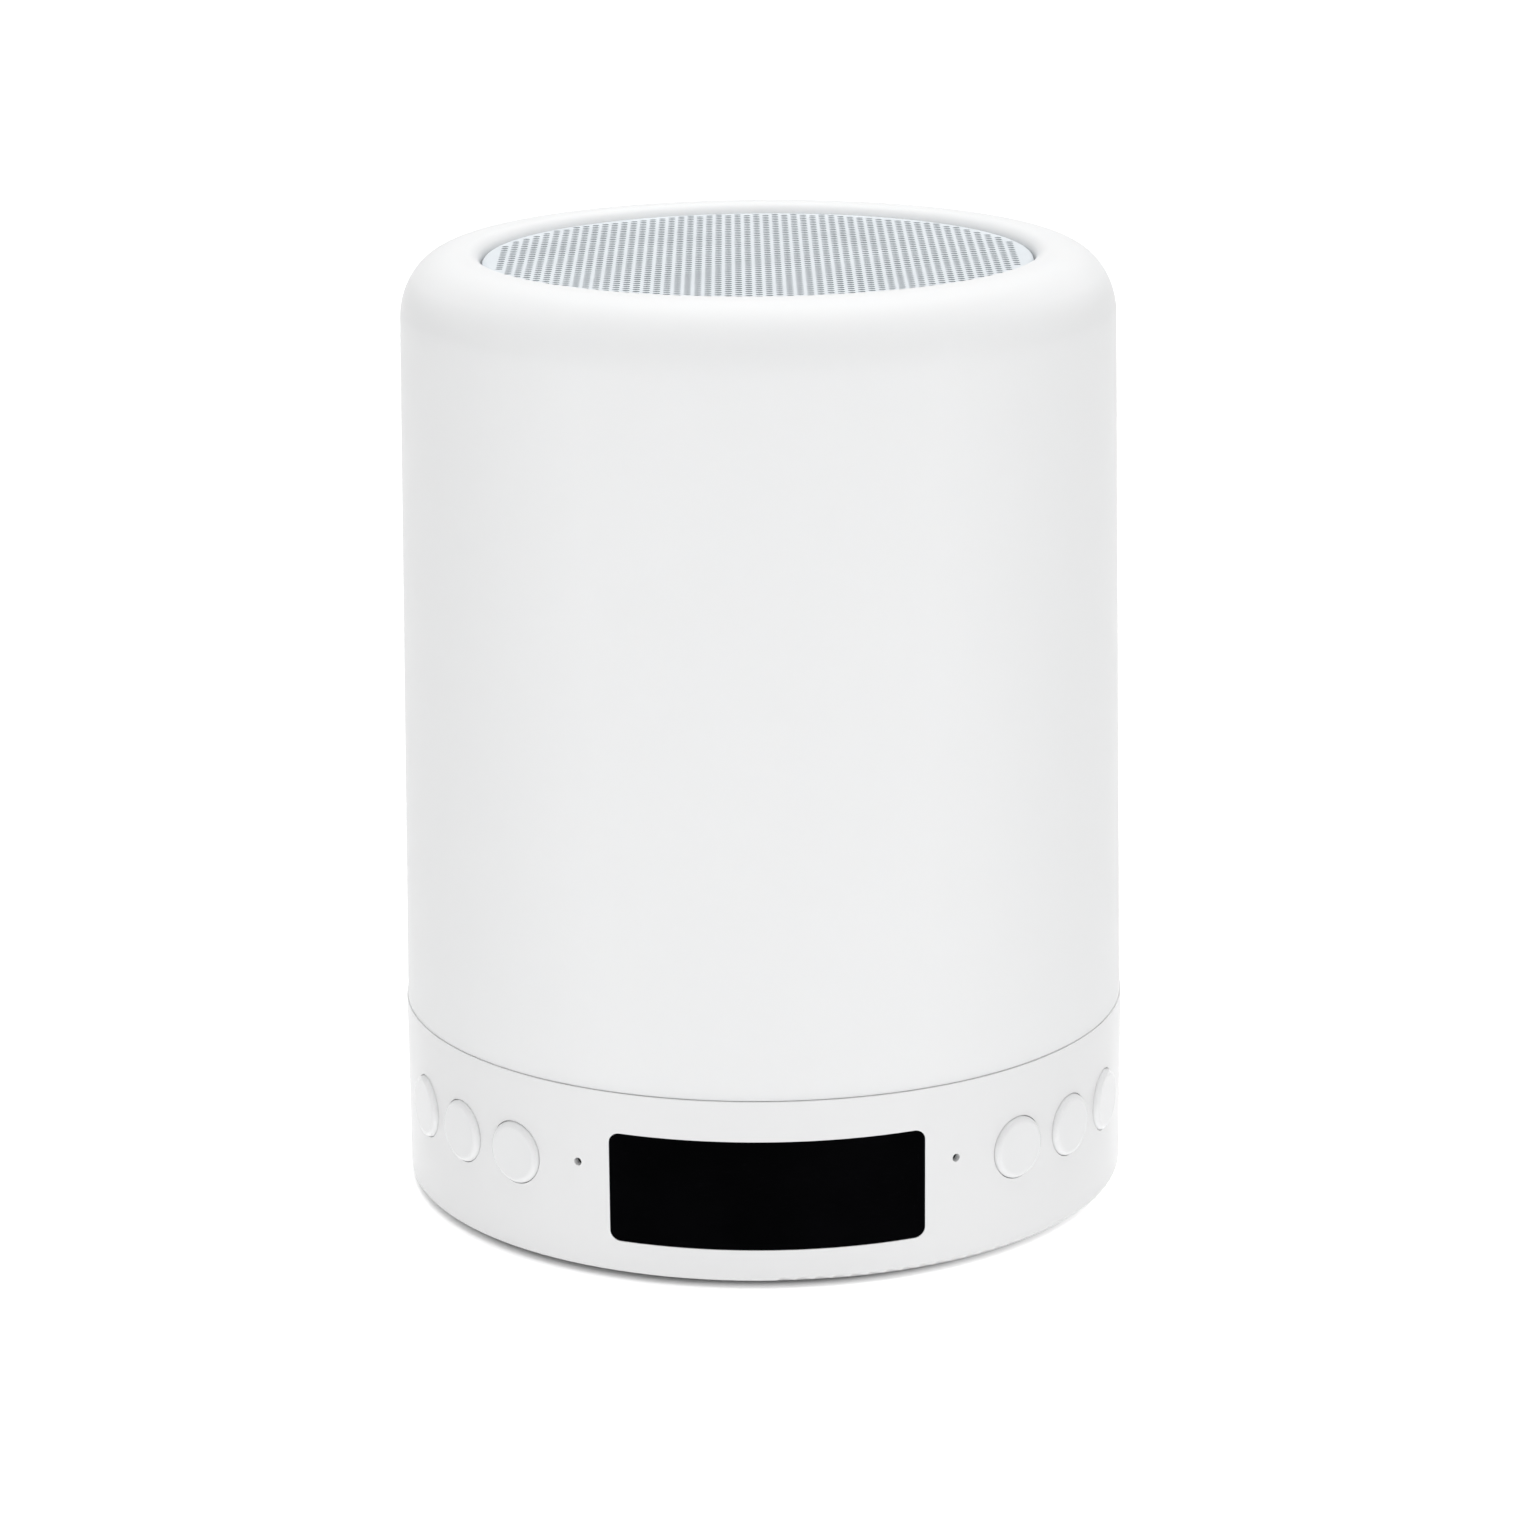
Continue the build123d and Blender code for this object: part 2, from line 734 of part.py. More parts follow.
def usb_socket():
    width, depth, tall = usb_shell_size
    face = base_radius - usb_face_recess
    back = face - depth
    shell = radial_block(width, tall, back, face, usb_height(), usb_corner_share * tall)
    inner_width = width - 2 * usb_shell_wall
    inner_tall = tall - 2 * usb_shell_wall
    inner_corner = usb_corner_share * inner_tall
    floor = back + usb_back_wall
    hollow = radial_block(inner_width, inner_tall, floor, face + overcut, usb_height(), inner_corner)
    tongue_root = back + 0.5 * usb_back_wall
    tongue_tip = face - usb_tongue_recess
    tongue_width = usb_tongue_share * width
    tongue = radial_block(tongue_width, usb_tongue_thickness, tongue_root, tongue_tip, usb_height())
    return turned(shell - hollow + tongue, usb_azimuth)


def aux_socket():
    width, depth, tall = aux_body_size
    body_face = math.sqrt(wall_inner ** 2 - (0.5 * width) ** 2) - shell_fit
    body = radial_block(width, tall, body_face - depth, body_face, aux_height())
    collar_face = base_radius - aux_face_recess
    collar = radial_pin(aux_collar_radius, body_face - shell_fit, collar_face, aux_height())
    bore_end = body_face - depth + aux_back_wall
    bore = radial_pin(aux_bore_radius, bore_end, collar_face + overcut, aux_height())
    return turned(body + collar - bore, aux_azimuth)


def power_body_face():
    return math.sqrt(wall_inner ** 2 - (0.5 * power_body_size[0]) ** 2) - shell_fit


def power_channel_bottom():
    return power_body_face() - power_body_size[1] + power_channel_floor


def power_switch():
    width, depth, tall = power_body_size
    face = power_body_face()
    body = radial_block(width, tall, face - depth, face, power_height())
    knob_width, knob_tall = power_knob_size
    channel_width = knob_width + power_travel + 2 * power_knob_play
    channel_tall = knob_tall + 2 * power_knob_play
    channel_bottom = power_channel_bottom()
    channel = radial_block(channel_width, channel_tall, channel_bottom, face + overcut, power_height())
    return turned(body - channel, power_azimuth)


def power_knob():
    """Sliding knob at its off end, so it can move by power_travel along the wall."""
    width, tall = power_knob_size
    face = base_radius - power_knob_recess
    foot = power_channel_bottom() + power_knob_play
    knob = radial_block(width, tall, foot, face, power_height(), knob_corner)
    groove_floor = face - knob_groove_size
    groove = radial_block(
        knob_groove_size, tall + overcut, groove_floor, face + overcut, power_height())
    for step in (-1, 0, 1):
        knob -= Pos(step * knob_groove_pitch, 0, 0) * groove
    return turned(Pos(-0.5 * power_travel, 0, 0) * knob, power_azimuth)


# ------------------------------------------------------------------ light deck and battery
def deck_screw_circle():
    return deck_radius - deck_screw_head_radius - deck_screw_margin


def deck_screw_azimuths():
    return [45 + 360 * number / deck_screw_count for number in range(deck_screw_count)]


def lead_slot(x_half, y, bottom, top):
    """Opening that the leads pass through."""
    slot = Box(
        2 * x_half, lead_slot_depth, top - bottom, align=(Align.CENTER, Align.CENTER, Align.MIN))
    return Pos(0, y, bottom) * slot


def light_deck():
    """Reflecting deck with the battery tube standing through it."""
    deck = disc(deck_radius, seam_height, deck_top)
    deck += disc(tube_radius, tube_floor_height, tube_top)
    tube_floor_top = tube_floor_height + tube_floor_thickness
    deck -= disc(tube_inner, tube_floor_top, tube_top + overcut)
    slot_bottom, slot_top = tube_floor_height - overcut, tube_floor_top + overcut
    for side in (1, -1):
        deck -= lead_slot(lead_spacing, side * lead_channel, slot_bottom, slot_top)
    screw_hole = post(
        deck_screw_radius + shell_fit, 0, -deck_screw_circle(), seam_height - overcut, deck_top + overcut)
    for azimuth in deck_screw_azimuths():
        deck -= turned(screw_hole, azimuth)
    return deck


def deck_screws():
    length = deck_thickness + ledge_thickness - shell_fit
    one = screw(
        deck_screw_radius, deck_screw_head_radius, deck_screw_head_height, length, deck_top - length)
    placed = Pos(0, -deck_screw_circle(), 0) * one
    return Compound(children=[turned(placed, azimuth) for azimuth in deck_screw_azimuths()])


def light_board_outer():
    return deck_screw_circle() - deck_screw_head_radius - light_board_play


def light_board():
    inner = tube_radius + light_board_play
    return ring(inner, light_board_outer(), deck_top, deck_top + board_thickness)


def light_emitters():
    bottom = deck_top + board_thickness
    circle = 0.5 * (tube_radius + light_board_outer()) + light_shift
    chip = Box(light_size, light_size, light_thickness, align=(Align.CENTER, Align.CENTER, Align.MIN))
    chip -= Pos(0, 0, light_thickness) * Cylinder(light_well_radius, 2 * light_well_depth)
    placed = Pos(0, -circle, bottom) * chip
    return Compound(children=[turned(placed, 360 * number / light_count) for number in range(light_count)])


def battery_cell():
    can_top = cell_top - cell_button_height
    can = disc(cell_radius, cell_bottom, can_top)
    can = fillet(can.edges(), cell_edge_round)
    return can + disc(cell_button_radius, can_top - cell_edge_round, cell_top)


def battery_clips():
    clips = []
    inner, outer = cell_radius + cell_clip_play, tube_inner - cell_clip_play
    slot_half = lead_spacing + lead_clip_play
    for bottom in (cell_bottom + cell_clip_inset, cell_top - cell_clip_inset - cell_clip_height):
        top = bottom + cell_clip_height
        clip = ring(inner, outer, bottom, top)
        for side in (1, -1):
            clip -= lead_slot(slot_half, side * lead_channel, bottom - overcut, top + overcut)
        clips.append(clip)
    solids = [solid for clip in clips for solid in clip.solids()]
    return Compound(children=solids)


def battery_contacts():
    lower = disc(lower_contact_radius, cell_bottom - contact_thickness, cell_bottom)
    upper = disc(upper_contact_radius, cell_top, cell_top + contact_thickness)
    return Compound(children=[lower, upper])


# ------------------------------------------------------------------ speaker cup and shade
def speaker_cup():
    """Funnel on top of the battery tube that carries the speaker, the grille and the shade's top."""
    socket_bottom = tube_top - cup_socket_depth
    socket_inner = tube_radius + shell_fit
    socket_outer = socket_inner + cup_wall
    floor_top = tube_top + cup_wall
    bell_inner = magnet_radius + bell_play
    bell_outer = bell_inner + cup_wall
    bell_top = yoke_bottom + bell_rise
    seat_inner = frame_radius - frame_seat_width
    seat_bottom = frame_seat - cup_flange_thickness
    flange_outer = grille_radius + cup_flange_width
    flange_bottom = cup_flange_top - cup_flange_thickness
    return revolved(
        (tube_inner, tube_top),
        (socket_inner, tube_top),
        (socket_inner, socket_bottom),
        (socket_outer, socket_bottom),
        (socket_outer, tube_top - cup_step),
        (bell_outer, tube_top + cup_step),
        (bell_outer, bell_top),
        (seat_inner + cup_wall, seat_bottom),
        (frame_radius + frame_play + cup_wall, flange_bottom),
        (flange_outer, flange_bottom),
        (flange_outer, cup_flange_top),
        (frame_radius + frame_play, cup_flange_top),
        (frame_radius + frame_play, frame_seat),
        (seat_inner, frame_seat),
        (seat_inner, seat_bottom + 0.5 * cup_step),
        (bell_inner, bell_top + cup_step),
        (bell_inner, floor_top),
        (tube_inner, floor_top),
    )


def shade_slope(height):
    """Outside radius of the shade's tapered wall at a height."""
    rise = height - seam_height
    return base_radius - shade_setback - rise * math.tan(math.radians(shade_draft))


def lamp_shade():
    """Tapered shell with an elliptical rim, a flat crest and a lip around the grille."""
    bottom = seam_height + seam_gap
    shoulder = overall_height - rim_drop
    outer_bottom, outer_top = shade_slope(bottom), shade_slope(shoulder)
    lip_radius = grille_radius + shell_fit
    inner_top = outer_top - shade_wall
    inner_bottom = outer_bottom - shade_wall
    with BuildSketch(Plane.XZ) as profile:
        with BuildLine():
            Line((outer_bottom, bottom), (outer_top, shoulder))
            EllipticalCenterArc((outer_top - rim_width, shoulder), rim_width, rim_drop, 0, arc_size=90)
            crest_end = lip_radius + rim_lip_round
            Line((outer_top - rim_width, overall_height), (crest_end, overall_height))
            CenterArc((crest_end, overall_height - rim_lip_round), rim_lip_round, 90, 90)
            Line((lip_radius, overall_height - rim_lip_round), (lip_radius, lip_foot))
            Line((lip_radius, lip_foot), (inner_top - rim_inner_round, lip_foot))
            CenterArc((inner_top - rim_inner_round, lip_foot - rim_inner_round), rim_inner_round, 90, -90)
            Line((inner_top, lip_foot - rim_inner_round), (inner_bottom, bottom))
            Line((inner_bottom, bottom), (outer_bottom, bottom))
        make_face()
    shade = revolve(profile.sketch, Axis.Z)
    return shade - Pos(0, 0, bead_height) * Torus(spigot_outer, bead_radius + bead_play)


def shade_gasket():
    """Soft ring between the speaker cup and the underside of the shade's top."""
    inner = grille_radius + 2 * shell_fit
    outer = grille_radius + cup_flange_width - 3 * shell_fit
    return ring(inner, outer, cup_flange_top, lip_foot)


# ------------------------------------------------------------------ speaker
def speaker_frame():
    """Flange and open basket of the speaker."""
    seat_inner = frame_radius - frame_seat_width
    top_radius = seat_inner - basket_play
    foot_radius = magnet_radius + basket_foot
    floor_top = basket_bottom + basket_floor
    wall_top = frame_seat - basket_wall
    hole_radius = pole_radius + basket_hole_play
    frame = revolved(
        (frame_radius, frame_seat),
        (frame_radius, frame_top),
        (top_radius - basket_wall, frame_top),
        (top_radius - basket_wall, wall_top),
        (foot_radius - basket_wall, floor_top + basket_wall),
        (foot_radius - basket_wall, floor_top),
        (hole_radius, floor_top),
        (hole_radius, basket_bottom),
        (foot_radius, basket_bottom),
        (foot_radius, floor_top + basket_wall),
        (top_radius, wall_top),
        (top_radius, frame_seat),
    )
    window_middle = 0.5 * (floor_top + frame_seat)
    window = radial_block(
        basket_window_width, 0.5 * basket_depth, 0.8 * foot_radius, frame_radius, window_middle,
        basket_window_corner)
    for number in range(4):
        frame -= turned(window, 45 + 90 * number)
    return frame


def speaker_magnet():
    return ring(pole_radius + magnet_gap, magnet_radius, magnet_bottom, magnet_top)


def speaker_yoke():
    """Back plate and pole piece."""
    yoke = disc(plate_radius, yoke_bottom, magnet_bottom)
    return yoke + disc(pole_radius, yoke_bottom, basket_bottom)


def speaker_top_plate():
    return ring(coil_outer_radius + coil_play, plate_radius, magnet_top, basket_bottom)


def coil_bottom():
    return magnet_bottom + 2 * cone_travel


def voice_coil():
    return ring(coil_inner_radius, coil_outer_radius, coil_bottom(), coil_bottom() + coil_height)


def cone_neck():
    """Height where the cone meets the voice coil."""
    return coil_bottom() + coil_height - cone_overlap


def speaker_cone():
    rim = frame_top - cone_drop
    return revolved(
        (coil_outer_radius, cone_neck()),
        (coil_outer_radius + cone_thickness, cone_neck()),
        (cone_radius - cone_land, rim - cone_thickness),
        (cone_radius, rim - cone_thickness),
        (cone_radius, rim),
        (cone_radius - cone_land - 0.5 * cone_thickness, rim),
        (coil_outer_radius, cone_neck() + 2 * cone_thickness),
    )


def dust_cap():
    """Thin dome over the middle of the cone."""
    rim = frame_top - cone_drop
    slope = (rim - cone_neck()) / (cone_radius - coil_outer_radius)
    reach = dust_cap_radius - coil_outer_radius
    seat = cone_neck() + 2 * cone_thickness + slope * reach + dust_cap_lift
    crown = seat + dust_cap_rise
    sphere_radius = (dust_cap_radius ** 2 + dust_cap_rise ** 2) / (2 * dust_cap_rise)
    shell = Sphere(sphere_radius) - Sphere(sphere_radius - cone_thickness)
    return Pos(0, 0, crown - sphere_radius) * shell & disc(2 * dust_cap_radius, seat, crown + overcut)


def speaker_surround():
    """Half-roll between cone and frame, with a flat land clamped on the frame."""
    inner = cone_radius + surround_gap
    roll_centre = inner + surround_roll_radius
    land_top = frame_top + surround_thickness
    roll_inside = surround_roll_radius - surround_thickness
    with BuildSketch(Plane.XZ) as profile:
        with BuildLine():
            CenterArc((roll_centre, frame_top), surround_roll_radius, 0, 180)
            Line((inner, frame_top), (inner + surround_thickness, frame_top))
            CenterArc((roll_centre, frame_top), roll_inside, 180, -180)
            Line((roll_centre + roll_inside, frame_top), (roll_centre + surround_roll_radius, frame_top))
        make_face()
    roll = revolve(profile.sketch, Axis.Z)
    land_inner = roll_centre + surround_roll_radius - 0.5 * surround_thickness
    return roll + ring(land_inner, frame_radius, frame_top, land_top)


def speaker_spider():
    floor_top = basket_bottom + basket_floor
    inner, outer = coil_outer_radius + surround_gap, magnet_radius - spider_inset
    return ring(inner, outer, floor_top, floor_top + spider_thickness)


def speaker_gasket():
    """Foam ring that seals the speaker against the grille."""
    bottom = frame_top + surround_thickness
    outer = frame_radius
    return ring(outer - gasket_width, outer, bottom, grille_top - grille_sheet)


def speaker_grille():
    """Sheet-metal pan that closes the top, with its field of fine holes left out."""
    pan = disc(grille_radius, cup_flange_top, grille_top)
    pan = fillet(pan.edges().sort_by(Axis.Z)[-1], grille_edge_round)
    inner_radius = grille_radius - grille_sheet
    hollow = disc(inner_radius, cup_flange_top - overcut, grille_top - grille_sheet)
    return pan - hollow


def touch_contact():
    """Spring pin that ties the grille to the touch sensor."""
    circle = 0.5 * (frame_radius + frame_play + grille_radius - grille_sheet)
    return post(touch_pin_radius, 0, circle, cup_flange_top, grille_top - grille_sheet)


# ------------------------------------------------------------------ internal leads
def lead(x, *corners):
    """Round lead along straight runs and tangent arcs in the plane at x."""
    path = FilletPolyline(*[(x, y, z) for y, z in corners], radius=lead_bend)
    section = Plane(origin=path @ 0, z_dir=path % 0) * Circle(lead_radius)
    return sweep(section, path=path)


def connector_top():
    return main_board_top + connector_size[2]


def speaker_leads():
    """Pair of leads from the basket, under the magnet and down the battery tube."""
    beside_magnet = magnet_radius + lead_stand_off
    corners = (
        (beside_magnet, basket_bottom - lead_drop),
        (beside_magnet, wire_level),
        (lead_channel, wire_level),
        (lead_channel, connector_top()),
    )
    return Compound(children=[lead(side * 0.5 * lead_spacing, *corners) for side in (1, -1)])


def battery_lead():
    """Lead from the cell's upper contact down the tube to the board."""
    top_level = cell_top + contact_thickness + lead_radius
    corners = (
        (-cell_button_radius, top_level),
        (-lead_channel, top_level),
        (-lead_channel, connector_top()),
    )
    return lead(0.5 * lead_spacing, *corners)


# ------------------------------------------------------------------ writing the sub-parts
def main():
    os.makedirs("parts", exist_ok=True)

    save("base_ring", base_ring())
    save("lamp_shade", lamp_shade())
    save("shade_gasket", shade_gasket())
    save("speaker_grille", speaker_grille())
    save("touch_contact", touch_contact())

    save("bottom_cover", bottom_cover())
    save("foot_ring", foot_ring())
    save("cover_screws", cover_screws())

    save("display_window", display_window())
    save("digit_module", digit_module())
    save("display_digits", display_digits())
    save("display_board", display_board())
    save("microphone", microphone())
    save("status_light", status_light())

    places = ("front", "middle", "rear")
    for side, side_name in ((1, "right"), (-1, "left")):
        for azimuth, place in zip(button_azimuths, places):
            save(f"button_{side_name}_{place}", turned(button(), side * azimuth))
        save(f"switch_flex_{side_name}", switch_flex(side))
        save(f"switch_carrier_{side_name}", switch_carrier(side))
    save("tact_switches", tact_switches())

    save("main_board", main_board())
    save("board_screws", board_screws())
    save("board_chips", board_chips())
    save("radio_can", radio_can())
    save("lead_connectors", lead_connectors())
    save("card_socket", card_socket())
    save("usb_socket", usb_socket())
    save("aux_socket", aux_socket())
    save("power_switch", power_switch())
    save("power_knob", power_knob())

    save("light_deck", light_deck())
    save("deck_screws", deck_screws())
    save("light_board", light_board())
    save("light_emitters", light_emitters())
    save("battery_cell", battery_cell())
    save("battery_clips", battery_clips())
    save("battery_contacts", battery_contacts())
    save("battery_lead", battery_lead())

    save("speaker_cup", speaker_cup())
    save("speaker_frame", speaker_frame())
    save("speaker_magnet", speaker_magnet())
    save("speaker_yoke", speaker_yoke())
    save("speaker_top_plate", speaker_top_plate())
    save("voice_coil", voice_coil())
    save("speaker_cone", speaker_cone())
    save("dust_cap", dust_cap())
    save("speaker_spider", speaker_spider())
    save("speaker_surround", speaker_surround())
    save("speaker_gasket", speaker_gasket())
    save("speaker_leads", speaker_leads())


main()
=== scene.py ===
import json
import math

import bmesh
import bpy
from mathutils import Matrix, Vector


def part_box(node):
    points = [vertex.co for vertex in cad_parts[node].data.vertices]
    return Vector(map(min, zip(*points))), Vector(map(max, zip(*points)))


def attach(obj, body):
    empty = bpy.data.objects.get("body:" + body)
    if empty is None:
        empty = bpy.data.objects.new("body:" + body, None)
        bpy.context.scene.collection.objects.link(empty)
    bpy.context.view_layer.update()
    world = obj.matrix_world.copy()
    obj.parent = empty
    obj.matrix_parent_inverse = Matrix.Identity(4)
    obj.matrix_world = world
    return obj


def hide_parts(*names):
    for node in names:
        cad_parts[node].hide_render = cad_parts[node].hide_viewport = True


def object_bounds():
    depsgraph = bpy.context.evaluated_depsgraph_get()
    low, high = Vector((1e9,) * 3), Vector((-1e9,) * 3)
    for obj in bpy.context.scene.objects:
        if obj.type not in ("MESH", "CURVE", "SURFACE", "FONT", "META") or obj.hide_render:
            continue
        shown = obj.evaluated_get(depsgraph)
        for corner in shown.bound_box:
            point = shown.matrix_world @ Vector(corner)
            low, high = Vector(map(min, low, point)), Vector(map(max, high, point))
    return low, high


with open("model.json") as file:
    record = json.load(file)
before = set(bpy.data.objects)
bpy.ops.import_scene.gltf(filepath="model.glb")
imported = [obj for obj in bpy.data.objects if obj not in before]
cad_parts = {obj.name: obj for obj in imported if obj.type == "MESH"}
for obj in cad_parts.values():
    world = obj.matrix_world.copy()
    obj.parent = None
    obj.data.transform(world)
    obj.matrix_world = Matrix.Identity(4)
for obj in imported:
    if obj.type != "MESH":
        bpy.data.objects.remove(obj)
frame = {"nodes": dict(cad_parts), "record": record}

CAD_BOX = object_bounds()
MM = 0.001

# ------------------------------------------------------------------ sizes read from the frame
SHADE_LOW, SHADE_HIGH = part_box("lamp_shade")
GRILLE_LOW, GRILLE_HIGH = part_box("speaker_grille")
BASE_LOW, BASE_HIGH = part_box("base_ring")
BASE_RADIUS = BASE_HIGH.x
OVERALL_HEIGHT = CAD_BOX[1].z

# ------------------------------------------------------------------ shade, in metres
SHADE_DRAFT = math.radians(0.95)
SHADE_WALL = 2.2 * MM
SHADE_SEGMENTS = 288
RIM_WIDTH = 6.6 * MM
RIM_DROP = 8.0 * MM
RIM_THICKNESS = 2.6 * MM
RIM_LIP_ROUND = 1.7 * MM
RIM_INNER_ROUND = 3.5 * MM
LIP_PLAY = 0.2 * MM

# ------------------------------------------------------------------ grille
HOLE_PITCH = 1.374 * MM
HOLE_RADIUS = 0.45 * MM
HOLE_SIDES = 12
SHEET = 0.5 * MM
GRILLE_ROUND = 0.7 * MM
GRILLE_SEGMENTS = 240

# ------------------------------------------------------------------ lights
# share of the colour taken off as painted shade at the edges of upright walls
PAINTED_EDGE_SHADE = 0.2
FLOOR_GLOW = 0.6
FAR_GLOW_SHARE = 0.66
SOFTBOX_PLACE = (0.05, 0.5, 2.4)
SOFTBOX_SIZE = 2.2
SOFTBOX_POWER = 45.0


# ------------------------------------------------------------------ mesh helpers
def new_object(name, mesh):
    piece = bpy.data.objects.new(name, mesh)
    bpy.context.scene.collection.objects.link(piece)
    return piece


def mesh_from(bm, name, sharp_angle=35.0):
    """Mesh with smooth faces, split where they meet at more than sharp_angle degrees."""
    mesh = bpy.data.meshes.new(name)
    bmesh.ops.recalc_face_normals(bm, faces=bm.faces)
    bm.to_mesh(mesh)
    bm.free()
    mesh.shade_smooth()
    mesh.set_sharp_from_angle(angle=math.radians(sharp_angle))
    return mesh


def arc(centre_r, centre_z, reach_r, reach_z, start, end, steps):
    """Points of an elliptical arc in the (radius, height) plane, angles in degrees."""
    points = []
    for step in range(steps + 1):
        angle = math.radians(start + (end - start) * step / steps)
        points.append((centre_r + reach_r * math.cos(angle), centre_z + reach_z * math.sin(angle)))
    return points


def lathe(name, outline, segments):
    """Closed solid of revolution about Z from a closed (radius, height) outline."""
    bm = bmesh.new()
    rings = []
    for number in range(segments):
        angle = 2 * math.pi * number / segments
        c, s = math.cos(angle), math.sin(angle)
        rings.append([bm.verts.new((r * c, r * s, z)) for r, z in outline])
    for here, there in zip(rings, rings[1:] + rings[:1]):
        for place in range(len(outline)):
            after = (place + 1) % len(outline)
            bm.faces.new((here[place], there[place], there[after], here[after]))
    return new_object(name, mesh_from(bm, name))


# ------------------------------------------------------------------ node helpers
def new_material(name):
    material = bpy.data.materials.new(name)
    material.use_nodes = True
    tree = material.node_tree
    return material, tree, tree.nodes["Principled BSDF"]


def noise(tree, size, detail=3.0, stretch=(1, 1, 1)):
    """Noise on the object's own coordinates, with features about `size` metres across."""
    where = tree.nodes.new("ShaderNodeTexCoord")
    mapping = tree.nodes.new("ShaderNodeMapping")
    mapping.inputs["Scale"].default_value = stretch
    pattern = tree.nodes.new("ShaderNodeTexNoise")
    pattern.inputs["Scale"].default_value = 1.0 / size
    pattern.inputs["Detail"].default_value = detail
    tree.links.new(where.outputs["Object"], mapping.inputs["Vector"])
    tree.links.new(mapping.outputs["Vector"], pattern.inputs["Vector"])
    return pattern.outputs["Fac"]


def spread(tree, value, low, high, start=0.3, end=0.7):
    """The value mapped from start..end to low..high."""
    node = tree.nodes.new("ShaderNodeMapRange")
    node.inputs["From Min"].default_value = start
    node.inputs["From Max"].default_value = end
    node.inputs["To Min"].default_value = low
    node.inputs["To Max"].default_value = high
    tree.links.new(value, node.inputs["Value"])
    return node.outputs["Result"]


def product(tree, first, second):
    node = tree.nodes.new("ShaderNodeMath")
    node.operation = "MULTIPLY"
    tree.links.new(first, node.inputs[0])
    tree.links.new(second, node.inputs[1])
    return node.outputs["Value"]


def blend_colours(tree, factor, first, second):
    node = tree.nodes.new("ShaderNodeMix")
    node.data_type = "RGBA"
    tree.links.new(factor, node.inputs["Factor"])
    node.inputs["A"].default_value = (*first, 1)
    node.inputs["B"].default_value = (*second, 1)
    return node.outputs["Result"]


def bump(tree, shader, height, depth):
    node = tree.nodes.new("ShaderNodeBump")
    node.inputs["Strength"].default_value = 1.0
    node.inputs["Distance"].default_value = depth
    tree.links.new(height, node.inputs["Height"])
    tree.links.new(node.outputs["Normal"], shader.inputs["Normal"])


def scaled(colour, factor):
    return tuple(channel * factor for channel in colour)


def painted_edge_shade(tree, tint):
    """The colour with painted shade: darkened where an upright wall turns away from the view, so white
    edges show against white.
    """
    weight = tree.nodes.new("ShaderNodeLayerWeight")
    turned_away = spread(tree, weight.outputs["Facing"], 0.0, PAINTED_EDGE_SHADE, 0.15, 0.9)
    surface = tree.nodes.new("ShaderNodeNewGeometry")
    axes = tree.nodes.new("ShaderNodeSeparateXYZ")
    tree.links.new(surface.outputs["Normal"], axes.inputs["Vector"])
    upright = spread(tree, axes.outputs["Z"], 1.0, 0.0, 0.15, 0.6)
    kept = spread(tree, product(tree, turned_away, upright), 1.0, 0.0, 0.0, 1.0)
    node = tree.nodes.new("ShaderNodeVectorMath")
    node.operation = "SCALE"
    tree.links.new(tint, node.inputs[0])
    tree.links.new(kept, node.inputs["Scale"])
    return node.outputs["Vector"]


def moulded(name, colour, roughness, grain=0.15 * MM, depth=0.004 * MM, mottling=0.02):
    """Moulded plastic: faint cloudy colour, uneven gloss and the fine grain of the mould."""
    material, tree, shader = new_material(name)
    clouds = spread(tree, noise(tree, 14 * MM, 2.0), 0, 1, 0.0, 1.0)
    tint = blend_colours(tree, clouds, scaled(colour, 1 - mottling), scaled(colour, 1 + mottling))
    tree.links.new(tint, shader.inputs["Base Color"])
    smudges = noise(tree, 6 * MM, 2.0)
    gloss = spread(tree, smudges, 0.9 * roughness, 1.1 * roughness, 0.0, 1.0)
    tree.links.new(gloss, shader.inputs["Roughness"])
    bump(tree, shader, noise(tree, grain, 2.0), depth)
    return material, tree, shader


def white_plastic(name, colour, roughness, grain, mottling, sheen):
    """Smooth white plastic whose upright walls carry painted shade, darker towards their edges."""
    material, tree, shader = moulded(name, colour, roughness, grain, 0.001 * MM, mottling)
    shader.inputs["Specular IOR Level"].default_value = sheen
    tint = shader.inputs["Base Color"].links[0].from_socket
    # painted edge shade multiplied into the plastic's colour
    tree.links.new(painted_edge_shade(tree, tint), shader.inputs["Base Color"])
    return material, shader


def metal(name, colour, roughness, stretch=(1, 1, 1), metallic=1.0):
    """Metal with fine drawn streaks and uneven gloss."""
    material, tree, shader = new_material(name)
    streaks = noise(tree, 0.4 * MM, 4.0, stretch)
    tint = blend_colours(tree, spread(tree, streaks, 0, 1), scaled(colour, 0.9), scaled(colour, 1.06))
    tree.links.new(tint, shader.inputs["Base Color"])
    tree.links.new(spread(tree, streaks, 0.8 * roughness, 1.25 * roughness), shader.inputs["Roughness"])
    bump(tree, shader, streaks, 0.003 * MM)
    shader.inputs["Metallic"].default_value = metallic
    return material


# ------------------------------------------------------------------ materials
def milky_shade():
    material, shader = white_plastic("milky_shade", (0.86, 0.865, 0.868), 0.36, 1.2 * MM, 0.006, 0.08)
    shader.inputs["Subsurface Weight"].default_value = 0.2
    shader.inputs["Subsurface Radius"].default_value = (1.0, 0.95, 0.9)
    shader.inputs["Subsurface Scale"].default_value = 1.5 * MM
    return material


def white_housing():
    material, _ = white_plastic("white_housing", (0.83, 0.832, 0.835), 0.3, 1.2 * MM, 0.004, 0.12)
    return material


def white_button():
    material, _ = white_plastic("white_button", (0.83, 0.834, 0.838), 0.26, 1.0 * MM, 0.006, 0.2)
    return material


